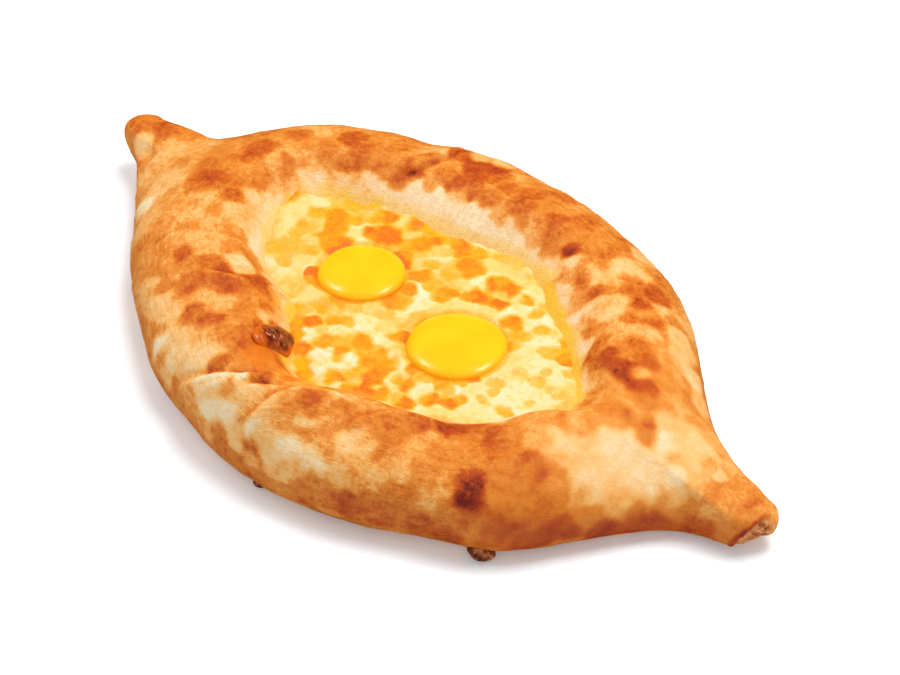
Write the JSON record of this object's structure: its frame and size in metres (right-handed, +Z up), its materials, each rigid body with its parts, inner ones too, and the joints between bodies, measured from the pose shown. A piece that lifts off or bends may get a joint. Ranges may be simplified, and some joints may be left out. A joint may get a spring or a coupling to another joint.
{
  "type": "khachapuri",
  "caption": "Boat-shaped bread with twisted ends and a thick browned rim, open in the middle and filled with toasted cheese and egg yolks.",
  "frame": {"origin": "centre of the bounding box in plan, on the flat base that rests on the table", "axes": "+X along the boat towards the torn end, +Y across to the far rim, +Z up"},
  "size_m": [0.3397, 0.1858, 0.0412],
  "materials": {
    "crust": "baked wheat crust, pale cream to deep orange brown with dark blistered spots, satin from melted butter",
    "cheese": "melted cheese and egg white, pale cream with orange toasted spots and a film of yellow butter",
    "yolk": "barely set egg yolk, bright yellow, smooth and glossy",
    "scorched": "scorched cheese, dark red brown, glossy and uneven"
  },
  "bodies": {
    "root": {"bread": "crust", "cheese": "cheese", "yolk_left": "yolk", "yolk_right": "yolk", "scorched_cheese": "scorched"}
  },
  "joints": []
}
